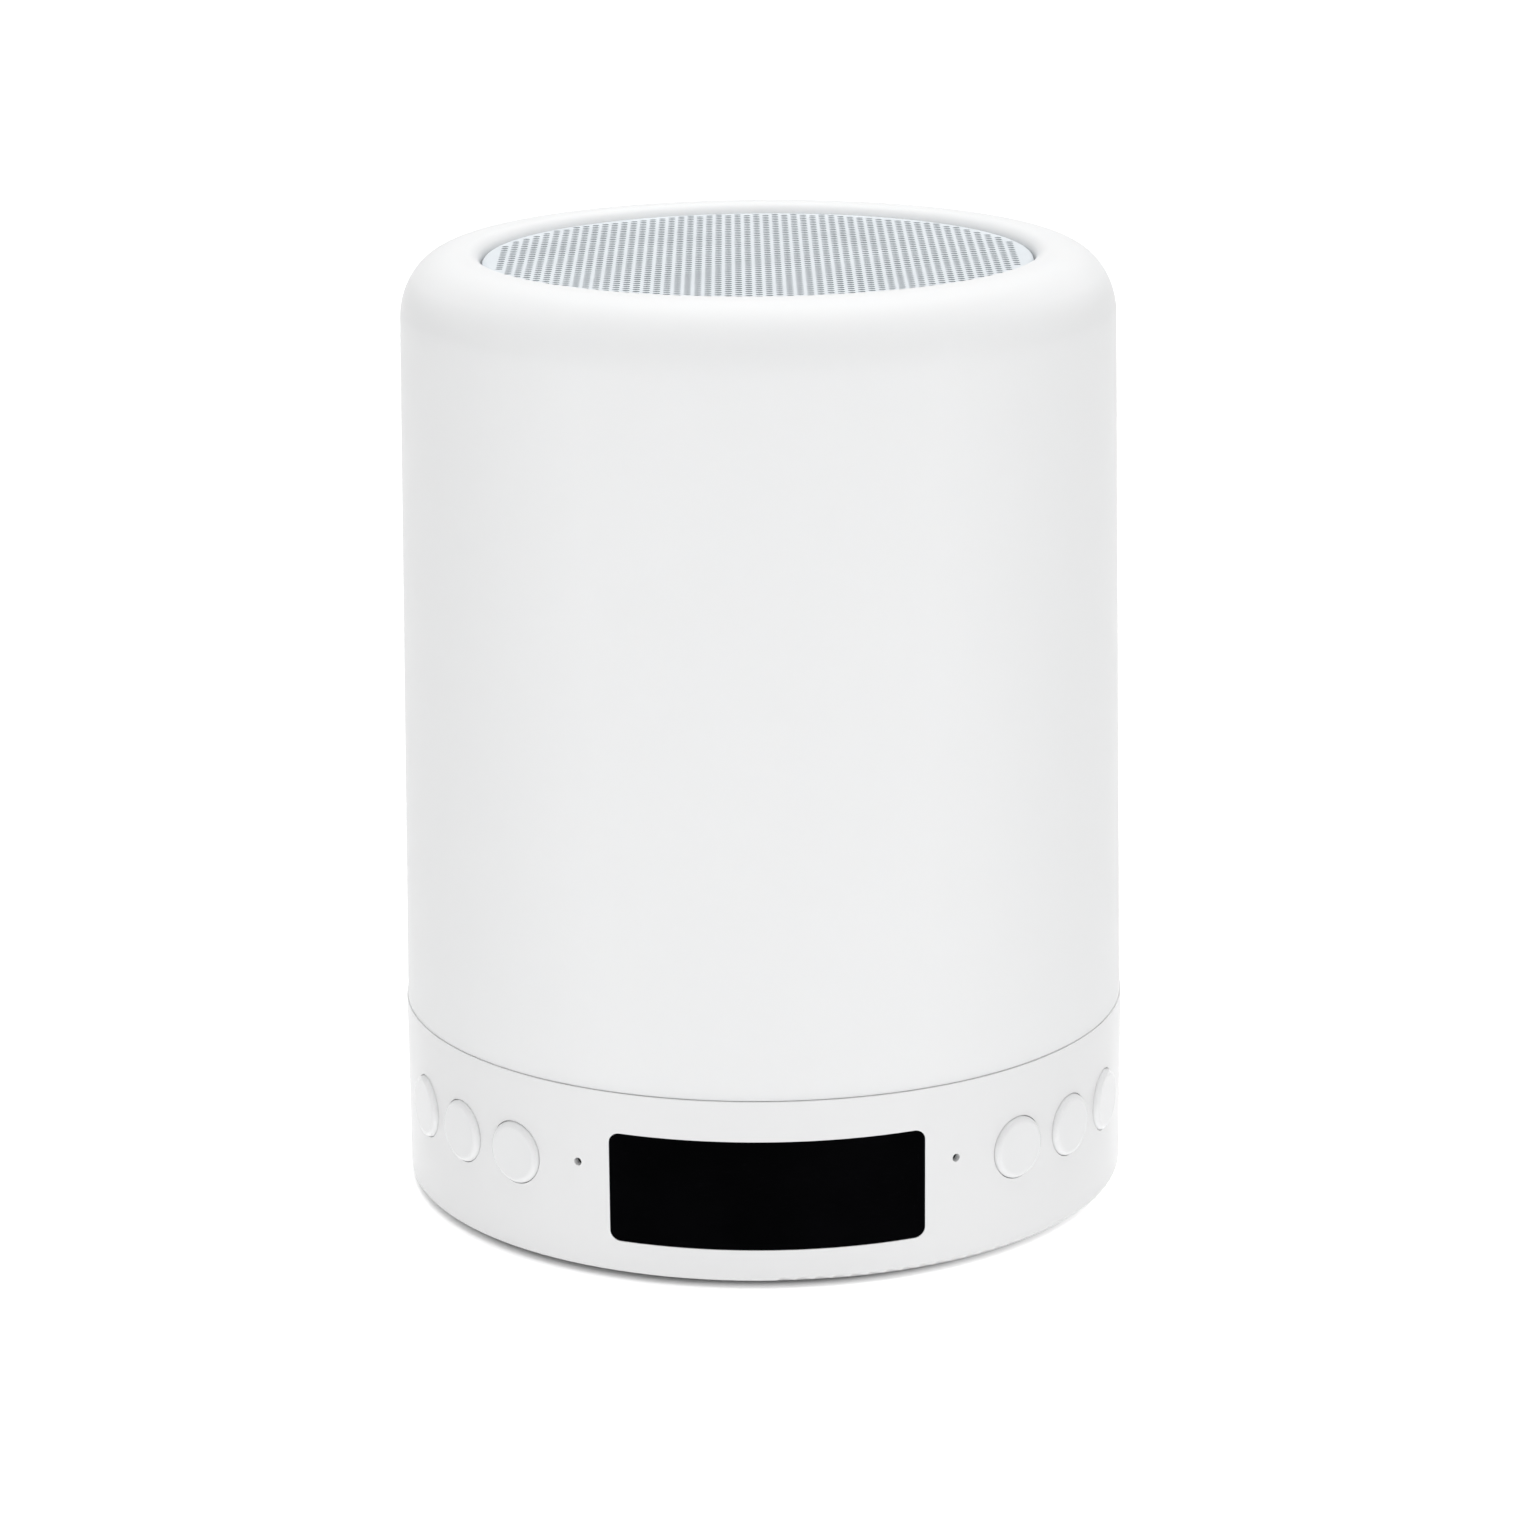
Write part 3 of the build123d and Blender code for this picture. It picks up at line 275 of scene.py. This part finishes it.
def grille_metal():
    """Powder-coated sheet: pale blue-grey with the coat's fine orange peel."""
    material, tree, shader = new_material("grille_metal")
    patches = noise(tree, 9 * MM, 3.0)
    tint = blend_colours(
        tree, spread(tree, patches, 0, 1), (0.765, 0.81, 0.845), (0.82, 0.865, 0.90))
    tree.links.new(tint, shader.inputs["Base Color"])
    shader.inputs["Metallic"].default_value = 0.25
    speckle = noise(tree, 0.12 * MM, 3.0)
    tree.links.new(spread(tree, speckle, 0.38, 0.5), shader.inputs["Roughness"])
    bump(tree, shader, speckle, 0.004 * MM)
    return material


def smoked_window():
    """Black acrylic, polished, with a trace of fine scuffs."""
    material, tree, shader = new_material("smoked_window")
    haze = noise(tree, 8 * MM, 3.0)
    tint = blend_colours(tree, spread(tree, haze, 0, 1), (0.0012, 0.0013, 0.0015), (0.002, 0.002, 0.0024))
    tree.links.new(tint, shader.inputs["Base Color"])
    scuffs = noise(tree, 0.5 * MM, 4.0, (1, 1, 6))
    tree.links.new(spread(tree, scuffs, 0.06, 0.14), shader.inputs["Roughness"])
    shader.inputs["Specular IOR Level"].default_value = 0.0
    return material


def rubber(name, colour):
    material, _, _ = moulded(name, colour, 0.75, grain=0.2 * MM, depth=0.01 * MM, mottling=0.15)
    return material


def dark_plastic(name, colour):
    material, _, _ = moulded(name, colour, 0.5, grain=0.18 * MM, depth=0.008 * MM, mottling=0.1)
    return material


def circuit_board():
    """Green solder mask with the raised pattern of its tracks."""
    material, tree, shader = new_material("circuit_board")
    where = tree.nodes.new("ShaderNodeTexCoord")
    tracks = tree.nodes.new("ShaderNodeTexBrick")
    tracks.inputs["Scale"].default_value = 260.0
    tracks.inputs["Mortar Size"].default_value = 0.06
    tracks.inputs["Color1"].default_value = (0.012, 0.11, 0.055, 1)
    tracks.inputs["Color2"].default_value = (0.016, 0.13, 0.065, 1)
    tracks.inputs["Mortar"].default_value = (0.03, 0.2, 0.1, 1)
    tree.links.new(where.outputs["Object"], tracks.inputs["Vector"])
    tree.links.new(tracks.outputs["Color"], shader.inputs["Base Color"])
    tree.links.new(spread(tree, noise(tree, 2 * MM), 0.28, 0.4), shader.inputs["Roughness"])
    bump(tree, shader, tracks.outputs["Fac"], 0.02 * MM)
    return material


def coil_copper():
    """Enamelled wire wound in fine rings up the former."""
    material, tree, shader = new_material("coil_copper")
    where = tree.nodes.new("ShaderNodeTexCoord")
    rings = tree.nodes.new("ShaderNodeTexWave")
    rings.bands_direction = "Z"
    rings.inputs["Scale"].default_value = 900.0
    tree.links.new(where.outputs["Object"], rings.inputs["Vector"])
    tint = blend_colours(tree, rings.outputs["Fac"], (0.32, 0.12, 0.05), (0.72, 0.36, 0.18))
    tree.links.new(tint, shader.inputs["Base Color"])
    tree.links.new(spread(tree, rings.outputs["Fac"], 0.25, 0.4, 0, 1), shader.inputs["Roughness"])
    shader.inputs["Metallic"].default_value = 0.9
    bump(tree, shader, rings.outputs["Fac"], 0.05 * MM)
    return material


def cone_paper():
    """Black pressed paper with short fibres."""
    material, tree, shader = new_material("cone_paper")
    fibres = noise(tree, 0.6 * MM, 6.0, (1, 3, 1))
    tint = blend_colours(tree, spread(tree, fibres, 0, 1), (0.018, 0.018, 0.019), (0.05, 0.05, 0.052))
    tree.links.new(tint, shader.inputs["Base Color"])
    tree.links.new(spread(tree, fibres, 0.75, 0.95), shader.inputs["Roughness"])
    bump(tree, shader, fibres, 0.05 * MM)
    return material


def gasket_foam():
    """Open-cell foam."""
    material, tree, shader = new_material("gasket_foam")
    where = tree.nodes.new("ShaderNodeTexCoord")
    cells = tree.nodes.new("ShaderNodeTexVoronoi")
    cells.inputs["Scale"].default_value = 1800.0
    tree.links.new(where.outputs["Object"], cells.inputs["Vector"])
    tint = blend_colours(tree, cells.outputs["Distance"], (0.01, 0.01, 0.011), (0.05, 0.05, 0.052))
    tree.links.new(tint, shader.inputs["Base Color"])
    tree.links.new(spread(tree, cells.outputs["Distance"], 0.8, 1.0, 0, 1), shader.inputs["Roughness"])
    bump(tree, shader, cells.outputs["Distance"], 0.15 * MM)
    return material


def magnet_ferrite():
    """Sintered ferrite: dark grey, grainy, with pale specks."""
    material, tree, shader = new_material("magnet_ferrite")
    grains = noise(tree, 0.3 * MM, 5.0)
    tint = blend_colours(tree, spread(tree, grains, 0, 1), (0.03, 0.03, 0.032), (0.11, 0.11, 0.115))
    tree.links.new(tint, shader.inputs["Base Color"])
    tree.links.new(spread(tree, grains, 0.45, 0.7), shader.inputs["Roughness"])
    bump(tree, shader, grains, 0.02 * MM)
    return material


def cell_wrap():
    """Blue shrink film with soft wrinkles along the cell."""
    material, tree, shader = new_material("cell_wrap")
    wrinkles = noise(tree, 3 * MM, 3.0, (1, 1, 0.25))
    tint = blend_colours(tree, spread(tree, wrinkles, 0, 1), (0.02, 0.11, 0.36), (0.035, 0.16, 0.46))
    tree.links.new(tint, shader.inputs["Base Color"])
    tree.links.new(spread(tree, wrinkles, 0.2, 0.34), shader.inputs["Roughness"])
    bump(tree, shader, wrinkles, 0.08 * MM)
    return material


def slot_materials():
    """One finished material for every material slot of the record."""
    seal, _, _ = moulded("lead_sleeve", (0.3, 0.02, 0.02), 0.45, mottling=0.08)
    digits, _, _ = moulded("digit_bars", (0.5, 0.51, 0.53), 0.5, mottling=0.03)
    # the status light's clear lens is coloured near black: painted shade, so its pinhole reads dark
    lens, _, _ = moulded("clear_lens", (0.05, 0.055, 0.06), 0.15, mottling=0.02)
    reflector, _, _ = moulded("white_reflector", (0.84, 0.84, 0.83), 0.55, mottling=0.01)
    emitter, _, _ = moulded("emitter_white", (0.82, 0.8, 0.6), 0.4, mottling=0.03)
    return {
        "white_housing": white_housing(),
        "white_button": white_button(),
        "milky_shade": milky_shade(),
        "grille_metal": grille_metal(),
        "smoked_window": smoked_window(),
        "seal_rubber": rubber("seal_rubber", (0.03, 0.03, 0.031)),
        "foot_rubber": rubber("foot_rubber", (0.035, 0.035, 0.038)),
        "contact_metal": metal("contact_metal", (0.72, 0.71, 0.68), 0.3, (1, 1, 6)),
        "screw_steel": metal("screw_steel", (0.56, 0.57, 0.6), 0.34),
        "dark_plastic": dark_plastic("dark_plastic", (0.04, 0.041, 0.045)),
        "digit_bars": digits,
        "circuit_board": circuit_board(),
        "clear_lens": lens,
        "chip_black": dark_plastic("chip_black", (0.02, 0.02, 0.022)),
        "knob_black": dark_plastic("knob_black", (0.022, 0.022, 0.024)),
        "white_reflector": reflector,
        "emitter_white": emitter,
        "cell_wrap": cell_wrap(),
        "lead_sleeve": seal,
        "basket_steel": metal("basket_steel", (0.16, 0.16, 0.17), 0.4, (1, 1, 4), 0.7),
        "magnet_ferrite": magnet_ferrite(),
        "coil_copper": coil_copper(),
        "cone_paper": cone_paper(),
        "gasket_foam": gasket_foam(),
    }


# ------------------------------------------------------------------ shade
def shade_outline():
    """Closed outline of the shade's wall, rim and lip."""
    bottom, top = SHADE_LOW.z, SHADE_HIGH.z
    outer_bottom = SHADE_HIGH.x
    shoulder = top - RIM_DROP
    outer_top = outer_bottom - (shoulder - bottom) * math.tan(SHADE_DRAFT)
    lip_radius = GRILLE_HIGH.x + LIP_PLAY
    lip_foot = top - RIM_THICKNESS
    crest_end = lip_radius + RIM_LIP_ROUND
    inner_top, inner_bottom = outer_top - SHADE_WALL, outer_bottom - SHADE_WALL
    outline = [(outer_bottom, bottom)]
    wall_rows = 12
    for row in range(1, wall_rows):
        share = row / wall_rows
        radius = outer_bottom + (outer_top - outer_bottom) * share
        outline.append((radius, bottom + (shoulder - bottom) * share))
    outline += arc(outer_top - RIM_WIDTH, shoulder, RIM_WIDTH, RIM_DROP, 0, 90, 20)
    outline += arc(crest_end, top - RIM_LIP_ROUND, RIM_LIP_ROUND, RIM_LIP_ROUND, 90, 180, 10)
    outline.append((lip_radius, lip_foot))
    outline += arc(
        inner_top - RIM_INNER_ROUND, lip_foot - RIM_INNER_ROUND, RIM_INNER_ROUND, RIM_INNER_ROUND, 90, 0, 8)
    outline.append((inner_bottom, bottom))
    return outline


def make_shade(materials):
    shade = lathe("shade_shell", shade_outline(), SHADE_SEGMENTS)
    shade.data.materials.append(materials["milky_shade"])
    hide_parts("lamp_shade")
    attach(shade, "housing")


# ------------------------------------------------------------------ grille
def hole_centres(field_radius):
    """Centres of close-packed holes in columns along Y, inside a circle."""
    column_pitch = HOLE_PITCH * math.sqrt(3) / 2
    columns = int(field_radius / column_pitch)
    rows = int(field_radius / HOLE_PITCH) + 1
    centres = []
    for column in range(-columns, columns + 1):
        shift = 0.5 * (column % 2)
        for row in range(-rows, rows + 1):
            x, y = column * column_pitch, (row + shift) * HOLE_PITCH
            if math.hypot(x, y) <= field_radius - HOLE_RADIUS:
                centres.append((x, y))
    return centres


def cell_border(x, y):
    """Corners and mid-sides of the hexagon round one hole, one point per side of the hole."""
    corner = HOLE_PITCH / math.sqrt(3)
    mid_side = HOLE_PITCH / 2
    points = []
    for number in range(HOLE_SIDES):
        angle = 2 * math.pi * number / HOLE_SIDES
        reach = corner if number % 2 == 0 else mid_side
        points.append((x + reach * math.cos(angle), y + reach * math.sin(angle)))
    return points


def perforated_face(bm, face_radius, height):
    """Flat disc full of holes: a ring of quads in each hole's cell, then a border out to the circle."""
    shared = {}
    grid = 0.02 * MM

    def border_vertex(x, y):
        key = (round(x / grid), round(y / grid))
        if key not in shared:
            shared[key] = bm.verts.new((x, y, height))
        return shared[key]

    inset = 0.12 * MM
    for x, y in hole_centres(face_radius - inset):
        outer, inner = [], []
        for number, (px, py) in enumerate(cell_border(x, y)):
            reach = math.hypot(px, py)
            if reach > face_radius - 0.5 * inset:
                scale = (face_radius - 0.5 * inset) / reach
                px, py = px * scale, py * scale
            outer.append(border_vertex(px, py))
            angle = 2 * math.pi * number / HOLE_SIDES
            rim = (x + HOLE_RADIUS * math.cos(angle), y + HOLE_RADIUS * math.sin(angle), height)
            inner.append(bm.verts.new(rim))
        for place in range(HOLE_SIDES):
            after = (place + 1) % HOLE_SIDES
            bm.faces.new((outer[place], outer[after], inner[after], inner[place]))
    border_keys = set(shared.values())
    edges = [e for e in bm.edges if e.is_boundary and all(v in border_keys for v in e.verts)]
    circle = []
    for number in range(GRILLE_SEGMENTS):
        angle = 2 * math.pi * number / GRILLE_SEGMENTS
        circle.append(bm.verts.new((face_radius * math.cos(angle), face_radius * math.sin(angle), height)))
    edges += [bm.edges.new(pair) for pair in zip(circle, circle[1:] + circle[:1])]
    bmesh.ops.triangle_fill(bm, use_beauty=True, edges=edges, normal=(0, 0, 1))
    return circle


def make_grille(materials):
    """Perforated pan: flat face, rounded edge and skirt, thickened inwards."""
    radius, top, bottom = GRILLE_HIGH.x, GRILLE_HIGH.z, GRILLE_LOW.z
    bm = bmesh.new()
    ring = perforated_face(bm, radius - GRILLE_ROUND, top)
    side = arc(radius - GRILLE_ROUND, top - GRILLE_ROUND, GRILLE_ROUND, GRILLE_ROUND, 90, 0, 6)[1:]
    side.append((radius, bottom))
    for r, z in side:
        below = []
        for number in range(GRILLE_SEGMENTS):
            angle = 2 * math.pi * number / GRILLE_SEGMENTS
            below.append(bm.verts.new((r * math.cos(angle), r * math.sin(angle), z)))
        for place in range(GRILLE_SEGMENTS):
            after = (place + 1) % GRILLE_SEGMENTS
            bm.faces.new((ring[place], below[place], below[after], ring[after]))
        ring = below
    grille = new_object("grille_perforated", mesh_from(bm, "grille_skin"))
    thicken(grille, SHEET)
    grille.data.materials.append(materials["grille_metal"])
    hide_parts("speaker_grille")
    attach(grille, "housing")


def thicken(piece, thickness):
    """Gives an open skin its thickness, inwards, as real geometry."""
    solidify = piece.modifiers.new("thickness", "SOLIDIFY")
    solidify.thickness = thickness
    solidify.offset = -1
    solidify.use_even_offset = True
    graph = bpy.context.evaluated_depsgraph_get()
    thick = bpy.data.meshes.new_from_object(piece.evaluated_get(graph))
    piece.modifiers.clear()
    thick.shade_smooth()
    thick.set_sharp_from_angle(angle=math.radians(35))
    piece.data = thick


# ------------------------------------------------------------------ CAD nodes
def finish_cad_nodes(materials):
    """Finishes every carried-over node by its slot; the microphone is finished black, painted shade so its
    pinhole reads dark.
    """
    slot_of = {part["node"]: part["material_slot"] for part in frame["record"]["subparts"]}
    # painted shade: the microphone behind its pinhole is black
    slot_of["microphone"] = "chip_black"
    for name, node in frame["nodes"].items():
        node.data.materials.clear()
        node.data.materials.append(materials[slot_of[name]])


# ------------------------------------------------------------------ room, lights and camera
def make_floor():
    """White floor that glows round the lamp as painted light, most strongly close to it, lighting the
    lamp's lower walls; beneath the lamp it does not glow, so a narrow contact shadow stays.
    """
    size = 6.0
    bm = bmesh.new()
    corners = [(-size, -size, 0), (size, -size, 0), (size, size, 0), (-size, size, 0)]
    bm.faces.new([bm.verts.new(corner) for corner in corners])
    floor = new_object("studio_floor", mesh_from(bm, "studio_floor"))
    material, tree, shader = new_material("studio_floor")
    paper = noise(tree, 40 * MM, 2.0)
    tint = blend_colours(tree, spread(tree, paper, 0, 1), (0.93, 0.93, 0.93), (0.95, 0.95, 0.95))
    tree.links.new(tint, shader.inputs["Base Color"])
    shader.inputs["Roughness"].default_value = 0.9
    shader.inputs["Specular IOR Level"].default_value = 0.0
    shader.inputs["Emission Color"].default_value = (1, 1, 1, 1)
    where = tree.nodes.new("ShaderNodeTexCoord")
    distance = tree.nodes.new("ShaderNodeVectorMath")
    distance.operation = "DISTANCE"
    distance.inputs[1].default_value = (-1.0 * MM, -1.2 * MM, 0)
    tree.links.new(where.outputs["Object"], distance.inputs[0])
    reach = distance.outputs["Value"]
    # painted light: glow only outside the lamp's footprint, stronger near the lamp than far from it
    glow = spread(tree, reach, 0.0, FLOOR_GLOW, BASE_RADIUS - 3 * MM, BASE_RADIUS + 0.5 * MM)
    fading = spread(tree, reach, 1.0, FAR_GLOW_SHARE, BASE_RADIUS + 2 * MM, BASE_RADIUS + 40 * MM)
    tree.links.new(product(tree, glow, fading), shader.inputs["Emission Strength"])
    floor.data.materials.append(material)


def make_world():
    """White surround, brightest in front of and above the lamp and dimmer towards both sides."""
    world = bpy.data.worlds.new("studio")
    world.use_nodes = True
    tree = world.node_tree
    background = tree.nodes["Background"]
    background.inputs["Color"].default_value = (1, 1, 1, 1)
    where = tree.nodes.new("ShaderNodeTexCoord")
    facing = tree.nodes.new("ShaderNodeVectorMath")
    facing.operation = "DOT_PRODUCT"
    facing.inputs[1].default_value = Vector((0.1, -0.75, 0.65)).normalized()
    tree.links.new(where.outputs["Generated"], facing.inputs[0])
    frontal = spread(tree, facing.outputs["Value"], 0.44, 0.7, -1.0, 1.0)
    axes = tree.nodes.new("ShaderNodeSeparateXYZ")
    tree.links.new(where.outputs["Generated"], axes.inputs["Vector"])
    left_shade = spread(tree, axes.outputs["X"], 0.66, 1.0, -1.0, 0.0)
    right_shade = spread(tree, axes.outputs["X"], 1.0, 0.75, 0.0, 1.0)
    strength = product(tree, product(tree, frontal, left_shade), right_shade)
    tree.links.new(strength, background.inputs["Strength"])
    bpy.context.scene.world = world


def area_light(name, position, size, power):
    """Square softbox aimed at the middle of the lamp."""
    lamp = bpy.data.lights.new(name, "AREA")
    lamp.energy = power
    lamp.size = size
    light = bpy.data.objects.new(name, lamp)
    light.location = position
    aim = Vector((0, 0, 0.5 * OVERALL_HEIGHT)) - light.location
    light.rotation_mode = "QUATERNION"
    light.rotation_quaternion = aim.to_track_quat("-Z", "Y")
    bpy.context.scene.collection.objects.link(light)


def make_camera():
    """Long lens, a little above the lamp, turned slightly to its left."""
    distance = 12.413 * BASE_RADIUS
    height = 4.626 * BASE_RADIUS
    around = math.radians(-0.3)
    pitch = math.radians(15.60)
    roll = math.radians(-0.48)
    camera_data = bpy.data.cameras.new("photo_camera")
    camera_data.sensor_width = 36.0
    camera_data.lens = 109.8
    camera_data.clip_start = 0.02
    camera_data.clip_end = 20.0
    camera = bpy.data.objects.new("photo_camera", camera_data)
    bpy.context.scene.collection.objects.link(camera)
    turn = Matrix.Rotation(around, 4, "Z")
    place = Matrix.Translation((0, -distance, height))
    aim = Matrix.Rotation(math.pi / 2 - pitch, 4, "X") @ Matrix.Rotation(roll, 4, "Z")
    camera.matrix_world = turn @ place @ aim
    bpy.context.scene.camera = camera


# ------------------------------------------------------------------ scene
bpy.context.scene.view_settings.view_transform = "Standard"
make_camera()
make_floor()
make_world()
area_light("top_softbox", SOFTBOX_PLACE, SOFTBOX_SIZE, SOFTBOX_POWER)

slots = slot_materials()
finish_cad_nodes(slots)
make_shade(slots)
make_grille(slots)
